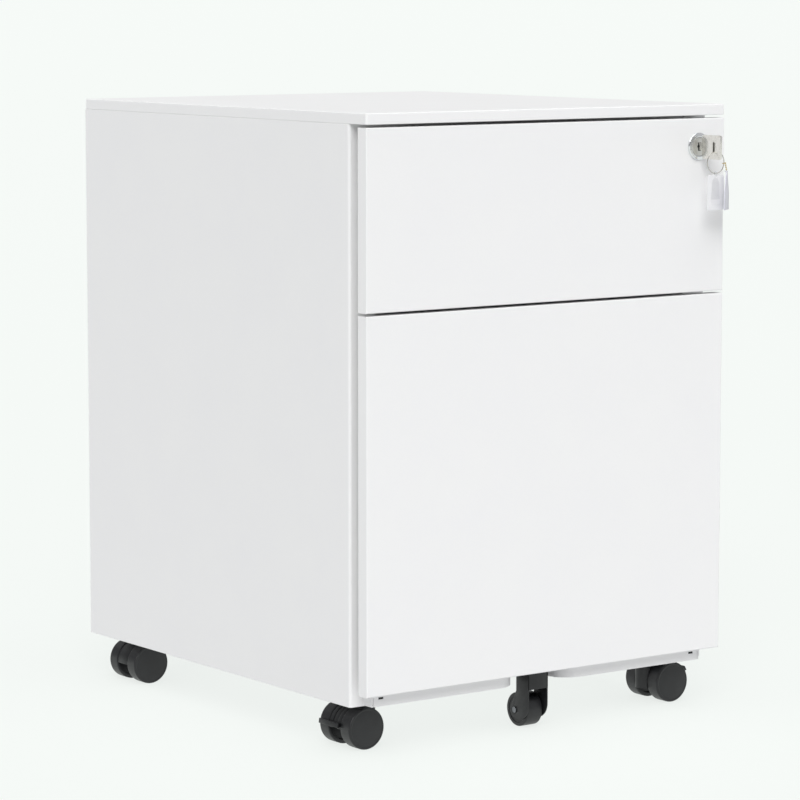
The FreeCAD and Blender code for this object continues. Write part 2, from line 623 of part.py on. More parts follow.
def fifth_wheel_bracket():
    """Fork under the file drawer: top plate, straight front wall and two cheeks that round off below the axle."""
    top = FILE_TRAY_BOTTOM
    inner = FORK_HALF - FORK_SHEET
    plate = box((-16, 16), (FORK_FACE_Y, 60), (top - 2, top))
    wall = box((-FORK_HALF, FORK_HALF), (FORK_FACE_Y, FORK_FACE_Y + FORK_SHEET), (FORK_WALL_BOTTOM, top - 1))
    turn_y, turn_z = FORK_FACE_Y + FORK_CHEEK_RADIUS, FIFTH_Z + 6.5
    outline = [V(inner, FORK_FACE_Y, turn_z), V(inner, FORK_FACE_Y, top - 1), V(inner, 45, top - 1),
               V(inner, 45, 50), V(inner, 33, 33), V(inner, 41.5, FIFTH_Z), V(inner, turn_y, turn_z)]
    cheek = prism(outline, V(FORK_SHEET, 0, 0))
    curve = rod(FORK_CHEEK_RADIUS, V(inner, turn_y, turn_z), V(FORK_HALF, turn_y, turn_z))
    curve = curve.common(box((0, 20), (FORK_FACE_Y, turn_y + 2), (0, turn_z + 1)))
    boss = rod(7.0, V(inner, FIFTH_Y, FIFTH_Z), V(FORK_HALF, FIFTH_Y, FIFTH_Z))
    cheek = join(cheek, curve, boss)
    bracket = join(plate, wall, cheek, mirrored(cheek))
    bracket = bracket.cut(rod(FIFTH_AXLE, V(-12, FIFTH_Y, FIFTH_Z), V(12, FIFTH_Y, FIFTH_Z)))
    for x, y in fifth_wheel_screw_places():
        bracket = bracket.cut(rod(2.0, V(x, y, top - 3), V(x, y, top + 1)))
    return bracket


def fifth_wheel():
    """Anti-tip wheel that rolls under the open file drawer."""
    wheel = rod(FIFTH_RADIUS, V(-FIFTH_HALF, FIFTH_Y, FIFTH_Z), V(FIFTH_HALF, FIFTH_Y, FIFTH_Z))
    wheel = round_edges(wheel, 1.2, lambda edge: edge.Length > 20 and abs(abs(middle(edge).x) - FIFTH_HALF) < EASE)
    return wheel.cut(rod(FIFTH_AXLE + RUNNING, V(-20, FIFTH_Y, FIFTH_Z), V(20, FIFTH_Y, FIFTH_Z)))


def fifth_wheel_screw(x, y):
    """Screw from below through the bracket into the tray."""
    under = FILE_TRAY_BOTTOM - 2
    head = rod(3.6, V(x, y, under - 2.2), V(x, y, under))
    return join(head, rod(2.0, V(x, y, under - 1), V(x, y, FILE_TRAY_BOTTOM + SHEET + 0.6)))


def write_carcass():
    """Everything that stands still."""
    write("top_cap", top_cap())
    write("right_side_panel", side_panel(True))
    write("left_side_panel", mirrored(side_panel(False)))
    write("back_panel", back_panel())
    write("back_panel_screws", *back_panel_screws())
    write("base_pan", base_pan_with_stem_holes())
    write("base_front_rail", base_front_rail())
    write("top_front_rail", top_front_rail())
    write("right_rear_upright", rear_upright())
    write("left_rear_upright", mirrored(rear_upright()))
    for name, z in (("box", BOX_SLIDE_Z), ("file", FILE_SLIDE_Z)):
        member = slide_member(CABINET_MEMBER, z)
        write(name + "_slide_cabinet_members", member, mirrored(member))
    write("lock_bar_guides", *lock_bar_guides())
    places = stem_places()
    write("caster_stems", *[caster_stem(x, y) for x, y in places])
    write("caster_plates", *[caster_plate(x, y) for x, y in places])
    write("caster_nuts", *[hex_nut(x, y) for x, y in places])


def stem_places():
    """Middle points of the four caster stems."""
    return [(x, y) for y in CASTER_Y for x in (-STEM_X, STEM_X)]


def base_pan_with_stem_holes():
    """Base pan drilled for the caster stems."""
    pan = base_pan()
    for x, y in stem_places():
        pan = pan.cut(rod(STEM_RADIUS, V(x, y, PAN_BOTTOM - 1), V(x, y, PAN_TOP + 1)))
    return pan


def write_drawers():
    """Both drawers with their slides, and the lock and key on the upper one."""
    write("box_drawer_front", drawer_front(BOX_FRONT_BOTTOM, BOX_FRONT_TOP, True))
    write("box_drawer_liner", drawer_liner(BOX_FRONT_BOTTOM, BOX_FRONT_TOP, True))
    write("box_drawer_tray", drawer_tray(BOX_TRAY_BOTTOM, BOX_TRAY_TOP))
    write("box_drawer_striker", striker(BOX_CATCH_Z))
    write("file_drawer_front", drawer_front(FILE_FRONT_BOTTOM, FILE_FRONT_TOP, False))
    write("file_drawer_liner", drawer_liner(FILE_FRONT_BOTTOM, FILE_FRONT_TOP, False))
    write("file_drawer_tray", file_tray())
    write("file_drawer_striker", striker(FILE_CATCH_Z))
    write("hanging_file_rails", file_rail(), mirrored(file_rail()))
    for name, z in (("box", BOX_SLIDE_Z), ("file", FILE_SLIDE_Z)):
        for part, section in (("middle", MIDDLE_MEMBER), ("drawer", DRAWER_MEMBER)):
            member = slide_member(section, z)
            write(name + "_slide_" + part + "_members", member, mirrored(member))
    write("lock_rosette", lock_rosette())
    write("lock_housing", lock_housing())
    write("lock_plug", lock_plug())
    write("lock_cam", lock_cam())
    write("lock_bar", lock_bar())
    write("key", key())
    write("key_ring", key_ring())
    write("white_key_tag", white_tag())
    write("grey_key_tag", grey_tag())


def write_fifth_wheel():
    """Anti-tip wheel under the file drawer."""
    write("fifth_wheel_bracket", fifth_wheel_bracket())
    write("fifth_wheel", fifth_wheel())
    write("fifth_wheel_axle", rod(FIFTH_AXLE, V(-11.8, FIFTH_Y, FIFTH_Z), V(11.8, FIFTH_Y, FIFTH_Z)))
    write("fifth_wheel_screws", *[fifth_wheel_screw(x, y) for x, y in fifth_wheel_screw_places()])


def write_casters():
    """Four twin-wheel casters; the front two have brake levers."""
    for end, y in zip(("front", "rear"), CASTER_Y):
        for hand, side in (("left", -1), ("right", 1)):
            name = end + "_" + hand + "_caster"
            stem_x = side * STEM_X
            axle_x = side * (STEM_X + TRAIL)
            has_lever = end == "front"
            write(name + "_hood", caster_hood(stem_x, y, side, has_lever))
            write(name + "_axle", caster_axle(axle_x, y))
            write(name + "_near_wheel", caster_wheel(axle_x, y, -1))
            write(name + "_far_wheel", caster_wheel(axle_x, y, 1))
            if has_lever:
                angle = LEVER_BRAKED if hand == "left" else LEVER_BRAKED + LEVER_SWEEP
                write(name + "_brake_lever", brake_lever(axle_x, y, side, angle))


os.makedirs("parts", exist_ok=True)
write_carcass()
write_drawers()
write_fifth_wheel()
write_casters()
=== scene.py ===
"""Looks of the two-drawer mobile filing pedestal.

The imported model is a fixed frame. Its sheet-metal nodes are dressed where they stand, and the small
moulded and turned parts are rebuilt in finer detail in the very space that the frame gives them.
Lengths in the classes are millimetres; meshes are written in metres.
"""

import logging
import math
from dataclasses import dataclass, field
from enum import Enum
from typing import Iterable, Optional, Sequence

import bmesh
import bpy
from mathutils import Matrix, Vector


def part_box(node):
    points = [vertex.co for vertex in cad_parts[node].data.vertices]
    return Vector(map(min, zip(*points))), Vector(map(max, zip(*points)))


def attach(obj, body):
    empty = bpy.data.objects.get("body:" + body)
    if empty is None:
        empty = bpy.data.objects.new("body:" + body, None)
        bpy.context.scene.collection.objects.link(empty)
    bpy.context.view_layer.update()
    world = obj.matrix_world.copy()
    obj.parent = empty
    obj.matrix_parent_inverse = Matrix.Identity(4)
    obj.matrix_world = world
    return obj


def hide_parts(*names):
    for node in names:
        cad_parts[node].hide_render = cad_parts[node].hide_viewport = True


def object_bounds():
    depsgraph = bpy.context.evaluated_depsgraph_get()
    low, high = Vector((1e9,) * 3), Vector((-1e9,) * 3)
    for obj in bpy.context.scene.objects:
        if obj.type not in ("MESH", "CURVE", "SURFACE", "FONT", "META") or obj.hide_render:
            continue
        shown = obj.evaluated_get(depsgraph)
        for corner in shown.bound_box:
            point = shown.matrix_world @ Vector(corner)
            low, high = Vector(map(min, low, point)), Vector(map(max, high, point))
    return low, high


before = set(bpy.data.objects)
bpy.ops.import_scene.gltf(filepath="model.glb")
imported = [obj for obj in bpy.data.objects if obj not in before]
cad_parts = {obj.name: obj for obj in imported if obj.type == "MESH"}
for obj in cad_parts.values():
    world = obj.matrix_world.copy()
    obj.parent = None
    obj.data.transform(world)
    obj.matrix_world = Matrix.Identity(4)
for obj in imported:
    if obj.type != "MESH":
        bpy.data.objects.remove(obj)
CAD_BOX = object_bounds()

MM = 0.001
LOG = logging.getLogger("pedestal")
Point = tuple[float, float, float]
Profile = Sequence[tuple[float, float]]


class Slot(Enum):
    """Names of the material slots."""

    WHITE = "powder_coated_steel"
    ZINC = "zinc_plated_steel"
    NICKEL = "nickel_plated_steel"
    NYLON = "black_nylon"
    TREAD = "black_tread"
    FILM = "white_plastic_film"
    GREY = "grey_plastic"


# ------------------------------------------------------------------ small tools
def linear(colour: str) -> tuple[float, float, float, float]:
    """Turn an sRGB hex colour into linear values.

    Args:
        colour: Six hex digits, such as "f4f4f5".

    Returns:
        Red, green, blue and an alpha of 1.
    """
    parts = [int(colour[place:place + 2], 16) / 255 for place in (0, 2, 4)]
    red, green, blue = [c / 12.92 if c <= 0.04045 else ((c + 0.055) / 1.055) ** 2.4 for c in parts]
    return red, green, blue, 1.0


def add(tree: bpy.types.NodeTree, kind: str, links: Optional[dict] = None, values: Optional[dict] = None,
        **settings: object) -> bpy.types.Node:
    """Add one node with its settings, values and incoming links.

    Args:
        tree: Node tree to add to.
        kind: Blender's type name of the node.
        links: Input socket name or index to the output socket that feeds it.
        values: Input socket name or index to its value.
        **settings: Properties set on the node itself.

    Returns:
        The new node.
    """
    node = tree.nodes.new(kind)
    for name, value in settings.items():
        setattr(node, name, value)
    for socket, value in (values or {}).items():
        node.inputs[socket].default_value = value
    for socket, source in (links or {}).items():
        tree.links.new(source, node.inputs[socket])
    return node


def corners(node: str) -> tuple[Vector, Vector]:
    """Lowest and highest corner of a frame node, in millimetres."""
    low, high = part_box(node)
    return low / MM, high / MM


def across(axis: Vector) -> tuple[Vector, Vector]:
    """Two unit vectors square to an axis and to each other.

    Args:
        axis: Unit direction to stand square to.

    Returns:
        The two directions.
    """
    first = Vector((0, 0, 1)) if abs(axis.z) < 0.9 else Vector((1, 0, 0))
    side = axis.cross(first).normalized()
    return side, axis.cross(side).normalized()


# ------------------------------------------------------------------ finishes
@dataclass(frozen=True)
class Finish:
    """What every finish shares: two close colours, a roughness band and a fine relief.

    Patterns read Object coordinates in metres, so a grain of n millimetres has a noise scale of 1000 / n.
    """

    name: str
    colour: str
    shade: str
    roughness: float
    roughness_spread: float
    grain_mm: float
    relief_mm: float
    patch_mm: float = 60.0
    metallic: float = 0.0
    ior: float = 1.5
    coat: float = 0.0
    transmission: float = 0.0
    glow: float = 0.0

    def stretch(self) -> Point:
        """How far the grain is drawn out along X, Y and Z."""
        return 1.0, 1.0, 1.0

    def material(self) -> bpy.types.Material:
        """Build the node material.

        Returns:
            The finished material.
        """
        material = bpy.data.materials.new(self.name)
        material.use_nodes = True
        tree = material.node_tree
        tree.nodes.clear()
        place = add(tree, "ShaderNodeTexCoord")
        mapping = add(tree, "ShaderNodeMapping", {"Vector": place.outputs["Object"]},
                      {"Scale": self.stretch()})
        spot = mapping.outputs["Vector"]
        patch = add(tree, "ShaderNodeTexNoise", {"Vector": spot},
                    {"Scale": 1000 / self.patch_mm, "Detail": 3.0, "Roughness": 0.5})
        grain = add(tree, "ShaderNodeTexNoise", {"Vector": spot},
                    {"Scale": 1000 / self.grain_mm, "Detail": 2.0, "Roughness": 0.55})
        blend = add(tree, "ShaderNodeMath", {0: patch.outputs["Fac"], 1: grain.outputs["Fac"]},
                    operation="ADD")
        share = add(tree, "ShaderNodeMapRange", {"Value": blend.outputs[0]},
                    {"From Min": 0.7, "From Max": 1.3})
        tint = add(tree, "ShaderNodeMix", {"Factor": share.outputs["Result"]}, data_type="RGBA")
        tint.inputs[6].default_value = linear(self.colour)
        tint.inputs[7].default_value = linear(self.shade)
        rough = add(tree, "ShaderNodeMapRange", {"Value": blend.outputs[0]},
                    {"From Min": 0.7, "From Max": 1.3, "To Min": self.roughness - self.roughness_spread,
                     "To Max": self.roughness + self.roughness_spread})
        bump = add(tree, "ShaderNodeBump", {"Height": self.height(tree, spot, grain)},
                   {"Strength": 1.0, "Distance": self.relief_mm * MM})
        shader = add(tree, "ShaderNodeBsdfPrincipled",
                     {"Base Color": tint.outputs[2], "Roughness": rough.outputs["Result"],
                      "Normal": bump.outputs["Normal"]},
                     {"Metallic": self.metallic, "Coat Weight": self.coat, "Coat Roughness": 0.25,
                      "Transmission Weight": self.transmission, "Emission Color": linear(self.colour),
                      "Emission Strength": self.glow})
        if not self.metallic:
            shader.inputs["IOR"].default_value = self.ior
        add(tree, "ShaderNodeOutputMaterial", {"Surface": shader.outputs["BSDF"]})
        return material

    def height(self, tree: bpy.types.NodeTree, spot: bpy.types.NodeSocket,
               grain: bpy.types.Node) -> bpy.types.NodeSocket:
        """Relief that the bump reads: the fine grain alone unless a finish adds to it."""
        return grain.outputs["Fac"]


@dataclass(frozen=True)
class PowderCoat(Finish):
    """Baked polyester powder on folded steel: satin, with a faint orange peel over a just-wavy sheet."""

    wave_mm: float = 45.0

    def height(self, tree: bpy.types.NodeTree, spot: bpy.types.NodeSocket,
               grain: bpy.types.Node) -> bpy.types.NodeSocket:
        """Orange peel on top of the slow waviness of the sheet.

        Args:
            tree: Node tree of the material.
            spot: Coordinates that the patterns read.
            grain: Noise of the fine grain.

        Returns:
            Socket with the summed relief.
        """
        wave = add(tree, "ShaderNodeTexNoise", {"Vector": spot},
                   {"Scale": 1000 / self.wave_mm, "Detail": 1.0, "Roughness": 0.4})
        slow = add(tree, "ShaderNodeMath", {0: wave.outputs["Fac"]}, {1: 1.6}, operation="MULTIPLY")
        total = add(tree, "ShaderNodeMath", {0: slow.outputs[0], 1: grain.outputs["Fac"]}, operation="ADD")
        return total.outputs[0]


@dataclass(frozen=True)
class RolledMetal(Finish):
    """Plated cold-rolled strip: the grain is drawn out along the length of the part."""

    def stretch(self) -> Point:
        """Long in Y, the way the strip was rolled."""
        return 1.0, 0.06, 1.0


@dataclass(frozen=True)
class MouldedPlastic(Finish):
    """Injection-moulded nylon: a spark-eroded texture, drawn as a cell pattern."""

    def height(self, tree: bpy.types.NodeTree, spot: bpy.types.NodeSocket,
               grain: bpy.types.Node) -> bpy.types.NodeSocket:
        """Pitted cells of the mould's surface.

        Args:
            tree: Node tree of the material.
            spot: Coordinates that the patterns read.
            grain: Noise of the fine grain.

        Returns:
            Socket with the summed relief.
        """
        cells = add(tree, "ShaderNodeTexVoronoi", {"Vector": spot}, {"Scale": 1000 / self.grain_mm})
        total = add(tree, "ShaderNodeMath", {0: cells.outputs["Distance"], 1: grain.outputs["Fac"]},
                    operation="ADD")
        return total.outputs[0]


# The powder's real grain of about 0.3 mm is drawn at 1.1 mm, the finest that shows.
POWDER = PowderCoat("white_powder_coat", "f2f2f1", "f0f0f0", 0.46, 0.05, 1.1, 0.008)
# Bright zinc: a cool grey strip with rolling lines.
ZINC = RolledMetal("bright_zinc_plate", "c3c6c9", "a9adb1", 0.34, 0.08, 0.8, 0.01, 12.0, 1.0)
# Satin nickel on brass: warm grey, softly brushed, for the key and the plug.
NICKEL = Finish("satin_nickel_plate", "ebe9e4", "dfdcd6", 0.27, 0.05, 0.35, 0.004, 5.0, 1.0)
# Die-cast plug: the same plate over a rougher casting, so it stays a shade darker than the key.
PLUG = Finish("satin_die_cast_plug", "d8d7d4", "cac8c4", 0.33, 0.06, 0.4, 0.006, 4.0, 1.0)
# Dark nickel lining inside the key's ring slot: painted shade, so the slot's inner wall reads dark instead of
# lit.
SLOT_SHADE = Finish("painted_slot_shade", "77736c", "5f5b55", 0.5, 0.05, 0.4, 0.004, 3.0, 1.0)
# Pin of the small wheel: plain cold-drawn steel, darker than the plated parts.
PIN_STEEL = Finish("drawn_steel_pin", "85878b", "6c6e72", 0.32, 0.06, 0.4, 0.004, 4.0, 1.0)
# Spring wire of the key ring: nickel over drawn steel, duller than the chrome.
WIRE = Finish("nickel_spring_wire", "c4c2bb", "b1afa8", 0.24, 0.05, 0.3, 0.002, 4.0, 1.0)
# Polished chrome on the lock's ring and the slide balls.
CHROME = Finish("polished_chrome", "e9eaec", "dcdee0", 0.12, 0.04, 0.5, 0.002, 8.0, 1.0)
# Black nylon of the hoods and levers: dull, lightly pitted by the mould.
NYLON = MouldedPlastic("black_moulded_nylon", "18191b", "131416", 0.42, 0.07, 0.5, 0.010, 9.0)
# Black wheel plastic: a shade greyer and smoother on its faces.
WHEEL = MouldedPlastic("black_wheel_plastic", "1c1d1f", "17181a", 0.4, 0.06, 0.45, 0.008, 12.0)
# Painted shade for the keyway: near-black, standing in for the unlit inside of the slot.
KEYWAY_SHADE = Finish("painted_keyway_shade", "101010", "0a0a0a", 0.7, 0.05, 0.3, 0.002, 3.0)
# Glossy film of the white tag, a little clear.
FILM = Finish("clear_white_film", "f5f5f6", "f0f0f2", 0.22, 0.05, 1.5, 0.006, 9.0, transmission=0.1)
# Matt grey ink printed on the white tag.
PANEL = Finish("grey_panel_ink", "dcdcde", "d4d4d6", 0.45, 0.05, 0.6, 0.004, 6.0)
# Paler strip along the foot of the panel.
PANEL_FOOT = Finish("pale_panel_ink", "e8e8ea", "e4e4e6", 0.45, 0.05, 0.6, 0.004, 6.0)
# Pale grey injection-moulded plastic of the second tag, faintly cool.
LILAC = Finish("pale_grey_plastic", "dadae2", "d2d2dc", 0.35, 0.05, 0.8, 0.006, 8.0)
# Bright brass of the eye and ball chain that hold the second tag.
BRASS = Finish("polished_brass", "cdb98a", "bda876", 0.25, 0.05, 0.4, 0.003, 3.0, 1.0)


@dataclass
class Paintbox:
    """Makes each finish's material once and hands it out."""

    made: dict[str, bpy.types.Material] = field(default_factory=dict)

    def get(self, finish: Finish) -> bpy.types.Material:
        """Material of a finish, made on first use.

        Args:
            finish: The finish wanted.

        Returns:
            Its one shared material.
        """
        if finish.name not in self.made:
            self.made[finish.name] = finish.material()
        return self.made[finish.name]

    def dress(self, node: str, finish: Finish) -> None:
        """Give a frame node its finish, leaving its mesh alone.

        Args:
            node: Name of the frame node.
            finish: Finish that it gets.
        """
        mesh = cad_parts[node].data
        mesh.materials.clear()
        mesh.materials.append(self.get(finish))
        LOG.info("dressed %s in %s", node, finish.name)


PAINTS = Paintbox()


# ------------------------------------------------------------------ mesh making
@dataclass
class Piece:
    """One visible piece: a growing mesh in millimetres, its finish and the body that it rides on."""

    name: str
    body: str
    slot: Slot
    finish: Finish
    mesh: bmesh.types.BMesh = field(default_factory=bmesh.new)

    def lathe(self, profile: Profile, start: Vector, axis: Vector, steps: int = 96) -> None:
        """Turn a profile about an axis.

        Args:
            profile: (radius, distance along the axis) pairs, with radius 0 at both ends of a solid.
            start: Point where the distance along the axis is 0.
            axis: Unit direction of the axis.
            steps: Number of faces round the axis.
        """
        side, up = across(axis)
        rings = []
        for radius, along in profile:
            middle = start + axis * along
            count = steps if radius > 0 else 1
            turns = [2 * math.pi * step / steps for step in range(count)]
            rings.append([self.mesh.verts.new(middle + (side * math.cos(t) + up * math.sin(t)) * radius)
                          for t in turns])
        for inner, outer in zip(rings, rings[1:]):
            self.bridge(inner, outer, steps)

    def bridge(self, first: list, second: list, steps: int) -> None:
        """Fill the band between two rings, either of which may be a single point.

        Args:
            first: Vertices of one ring.
            second: Vertices of the other ring.
            steps: Number of faces round the band.
        """
        for step in range(steps):
            after = (step + 1) % steps
            loop = [first[step % len(first)], first[after % len(first)],
                    second[after % len(second)], second[step % len(second)]]
            self.mesh.faces.new(list(dict.fromkeys(loop)))

    def tube(self, path: Sequence[Vector], radius: float, sides: int = 12, closed: bool = False) -> None:
        """Round wire along a path, capped unless the path is closed.

        Args:
            path: Points of the centre line.
            radius: Radius of the wire.
            sides: Number of faces round the wire.
            closed: Whether the last point joins the first.
        """
        rings = []
        normal = across((path[1] - path[0]).normalized())[0]
        for index, point in enumerate(path):
            ahead = path[(index + 1) % len(path)] if closed else path[min(index + 1, len(path) - 1)]
            behind = path[index - 1] if closed or index else path[0]
            along = (ahead - behind).normalized()
            normal = (normal - along * normal.dot(along)).normalized()
            other = along.cross(normal)
            rings.append([self.mesh.verts.new(point + (normal * math.cos(t) + other * math.sin(t)) * radius)
                          for t in (2 * math.pi * step / sides for step in range(sides))])
        pairs = list(zip(rings, rings[1:])) + ([(rings[-1], rings[0])] if closed else [])
        for first, second in pairs:
            self.bridge(first, second, sides)
        if not closed:
            self.mesh.faces.new(rings[0])
            self.mesh.faces.new(rings[-1])

    def plate(self, outlines: Sequence[Sequence[tuple[float, float]]], thickness: float, bevel: float,
              place: Matrix) -> None:
        """Flat plate with holes: outline first, then each hole.

        Args:
            outlines: Closed outlines as (across, up) points, the outer one first.
            thickness: Full thickness, half to each side of the outlines' plane.
            bevel: Width of the softened edges.
            place: Turns the outlines' own plane (X across, Z up, Y through) into the frame.
        """
        flat = bmesh.new()
        for outline in outlines:
            ring = [flat.verts.new((x, -thickness / 2, z)) for x, z in outline]
            for first, second in zip(ring, ring[1:] + ring[:1]):
                flat.edges.new((first, second))
        bmesh.ops.triangle_fill(flat, use_beauty=True, use_dissolve=False, edges=flat.edges[:])
        pushed = bmesh.ops.extrude_face_region(flat, geom=flat.faces[:])
        moved = [item for item in pushed["geom"] if isinstance(item, bmesh.types.BMVert)]
        bmesh.ops.translate(flat, verts=moved, vec=(0, thickness, 0))
        bmesh.ops.recalc_face_normals(flat, faces=flat.faces[:])
        if bevel:
            soften(flat, bevel, 2)
        bmesh.ops.transform(flat, matrix=place, verts=flat.verts[:])
        self.absorb(flat)

    def absorb(self, other: bmesh.types.BMesh) -> None:
        """Add another mesh's faces and free it.

        Args:
            other: Mesh to take in, in millimetres.
        """
        stored = bpy.data.meshes.new("stored")
        other.to_mesh(stored)
        other.free()
        self.mesh.from_mesh(stored)
        bpy.data.meshes.remove(stored)

    def copy_node(self, node: str, bevel: float, segments: int = 2, ceiling: Optional[float] = None) -> None:
        """Take a merged copy of a frame node and soften its edges.

        Args:
            node: Name of the frame node.
            bevel: Edge radius.
            segments: Faces across each softened edge.
            ceiling: Height above which the copy is cut away.
        """
        copied = bmesh.new()
        copied.from_mesh(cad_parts[node].data)
        bmesh.ops.scale(copied, vec=(1 / MM,) * 3, verts=copied.verts[:])
        bmesh.ops.remove_doubles(copied, verts=copied.verts[:], dist=0.002)
        bmesh.ops.dissolve_limit(copied, angle_limit=math.radians(0.8), verts=copied.verts[:],
                                 edges=copied.edges[:])
        if ceiling is not None:
            bmesh.ops.bisect_plane(copied, geom=copied.verts[:] + copied.edges[:] + copied.faces[:],
                                   plane_co=(0, 0, ceiling), plane_no=(0, 0, 1), clear_outer=True)
            bmesh.ops.holes_fill(copied, edges=[edge for edge in copied.edges if edge.is_boundary])
        bmesh.ops.recalc_face_normals(copied, faces=copied.faces[:])
        soften(copied, bevel, segments)
        self.absorb(copied)

    def finish_up(self, replaced: Iterable[str] = (), smooth: float = 35.0) -> bpy.types.Object:
        """Close the mesh, make its object and hang it on its body.

        Args:
            replaced: Frame nodes that this piece stands for.
            smooth: Edges sharper than this many degrees stay crisp.

        Returns:
            The finished object.
        """
        bmesh.ops.remove_doubles(self.mesh, verts=self.mesh.verts[:], dist=0.0005)
        bmesh.ops.recalc_face_normals(self.mesh, faces=self.mesh.faces[:])
        bmesh.ops.scale(self.mesh, vec=(MM,) * 3, verts=self.mesh.verts[:])
        data = bpy.data.meshes.new(self.name)
        self.mesh.to_mesh(data)
        self.mesh.free()
        return place_mesh(self, data, replaced, smooth)


def place_mesh(piece: Piece, data: bpy.types.Mesh, replaced: Iterable[str],
               smooth: float) -> bpy.types.Object:
    """Args:
        piece: Name, body, slot and finish.
        data: The mesh, already in its place.
        replaced: Frame nodes that the piece stands for.
        smooth: Edges sharper than this many degrees stay crisp.

    Returns:
        The object.
    """
    data.materials.clear()
    data.materials.append(PAINTS.get(piece.finish))
    data.shade_smooth()
    data.set_sharp_from_angle(angle=math.radians(smooth))
    item = bpy.data.objects.new(piece.name, data)
    bpy.context.scene.collection.objects.link(item)
    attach(item, piece.body)
    if replaced:
        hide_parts(*replaced)
    LOG.info("built %s, %d faces, on %s", piece.name, len(data.polygons), piece.body)
    return item


def soften(mesh: bmesh.types.BMesh, width: float, segments: int) -> None:
    """Bevel every edge where the surface turns by more than 40 degrees.

    Args:
        mesh: Mesh to change.
        width: Width of the bevel.
        segments: Faces across each bevel.
    """
    sharp = [edge for edge in mesh.edges
             if len(edge.link_faces) == 2 and edge.calc_face_angle(0.0) > math.radians(40)]
    bmesh.ops.bevel(mesh, geom=sharp, offset=width, offset_type="OFFSET", segments=segments, profile=0.5,
                    affect="EDGES", clamp_overlap=True)


def rounded(half_wide: float, half_high: float, radius: float, steps: int = 6) -> list[tuple[float, float]]:
    """Outline of a rectangle with rounded corners, centred on the origin.

    Args:
        half_wide: Half the width.
        half_high: Half the height.
        radius: Corner radius.
        steps: Straight pieces in each corner.

    Returns:
        The outline's points, anticlockwise.
    """
    points = []
    for quarter, (x, z) in enumerate(((1, 1), (-1, 1), (-1, -1), (1, -1))):
        for step in range(steps + 1):
            turn = math.pi / 2 * (quarter + step / steps)
            points.append((x * (half_wide - radius) + radius * math.cos(turn),
                           z * (half_high - radius) + radius * math.sin(turn)))
    return points


@dataclass
class CopyTree:
    """Geometry Nodes tree that sets one shape on every point of a mesh."""

    tree: bpy.types.NodeTree = field(init=False)

    def __post_init__(self) -> None:
        """Build the tree with its named inputs."""
        self.tree = bpy.data.node_groups.new("copies_on_points", "GeometryNodeTree")
        face = self.tree.interface
        face.new_socket("Geometry", in_out="INPUT", socket_type="NodeSocketGeometry")
        face.new_socket("Shape", in_out="INPUT", socket_type="NodeSocketObject")
        face.new_socket("Finish", in_out="INPUT", socket_type="NodeSocketMaterial")
        face.new_socket("Turn Seed", in_out="INPUT", socket_type="NodeSocketInt")
        face.new_socket("Turn Axis", in_out="INPUT", socket_type="NodeSocketVector")
        face.new_socket("Geometry", in_out="OUTPUT", socket_type="NodeSocketGeometry")
        given = add(self.tree, "NodeGroupInput").outputs
        shape = add(self.tree, "GeometryNodeObjectInfo", {"Object": given["Shape"]})
        index = add(self.tree, "GeometryNodeInputIndex")
        angle = add(self.tree, "FunctionNodeRandomValue",
                    {"Seed": given["Turn Seed"], "ID": index.outputs[0]},
                    data_type="FLOAT")
        angle.inputs[2].default_value = -math.pi
        angle.inputs[3].default_value = math.pi
        turn = add(self.tree, "ShaderNodeVectorMath", {0: given["Turn Axis"], "Scale": angle.outputs[1]},
                   operation="SCALE")
        copies = add(self.tree, "GeometryNodeInstanceOnPoints",
                     {"Points": given["Geometry"], "Instance": shape.outputs["Geometry"],
                      "Rotation": turn.outputs[0]})
        real = add(self.tree, "GeometryNodeRealizeInstances", {"Geometry": copies.outputs["Instances"]})
        dressed = add(self.tree, "GeometryNodeSetMaterial",
                      {"Geometry": real.outputs["Geometry"], "Material": given["Finish"]})
        add(self.tree, "NodeGroupOutput", {"Geometry": dressed.outputs["Geometry"]})

    def socket(self, name: str) -> str:
        """Identifier of a named input."""
        return next(item.identifier for item in self.tree.interface.items_tree
                    if item.name == name and item.in_out == "INPUT")

    def run(self, piece: Piece, places: Sequence[Vector], shape: Piece, replaced: Iterable[str] = (),
            turn_axis: Point = (0.0, 0.0, 0.0), seed: int = 7, smooth: float = 35.0) -> bpy.types.Object:
        """Copy a shape to every place and make one plain piece of them.

        Args:
            piece: Name, body, slot and finish of the result.
            places: Points in millimetres.
            shape: Mesh of one copy, centred on the origin, in millimetres.
            replaced: Frame nodes that the result stands for.
            turn_axis: Axis of a random turn of each copy; zero for no turn.
            seed: Seed of those turns.
            smooth: Edges sharper than this many degrees stay crisp.

        Returns:
            The finished object.
        """
        bmesh.ops.recalc_face_normals(shape.mesh, faces=shape.mesh.faces[:])
        bmesh.ops.scale(shape.mesh, vec=(MM,) * 3, verts=shape.mesh.verts[:])
        one = bpy.data.meshes.new(shape.name)
        shape.mesh.to_mesh(one)
        shape.mesh.free()
        template = bpy.data.objects.new(shape.name, one)
        points = bpy.data.meshes.new(piece.name + "_points")
        points.from_pydata([place * MM for place in places], [], [])
        host = bpy.data.objects.new(piece.name + "_host", points)
        bpy.context.scene.collection.objects.link(template)
        bpy.context.scene.collection.objects.link(host)
        step = host.modifiers.new("copies", "NODES")
        step.node_group = self.tree
        step[self.socket("Shape")] = template
        step[self.socket("Finish")] = PAINTS.get(piece.finish)
        step[self.socket("Turn Seed")] = seed
        step[self.socket("Turn Axis")] = turn_axis
        graph = bpy.context.evaluated_depsgraph_get()
        data = bpy.data.meshes.new_from_object(host.evaluated_get(graph))
        data.name = piece.name
        for helper in (host, template):
            bpy.data.objects.remove(helper)
        piece.mesh.free()
        return place_mesh(piece, data, replaced, smooth)


COPIES = CopyTree()


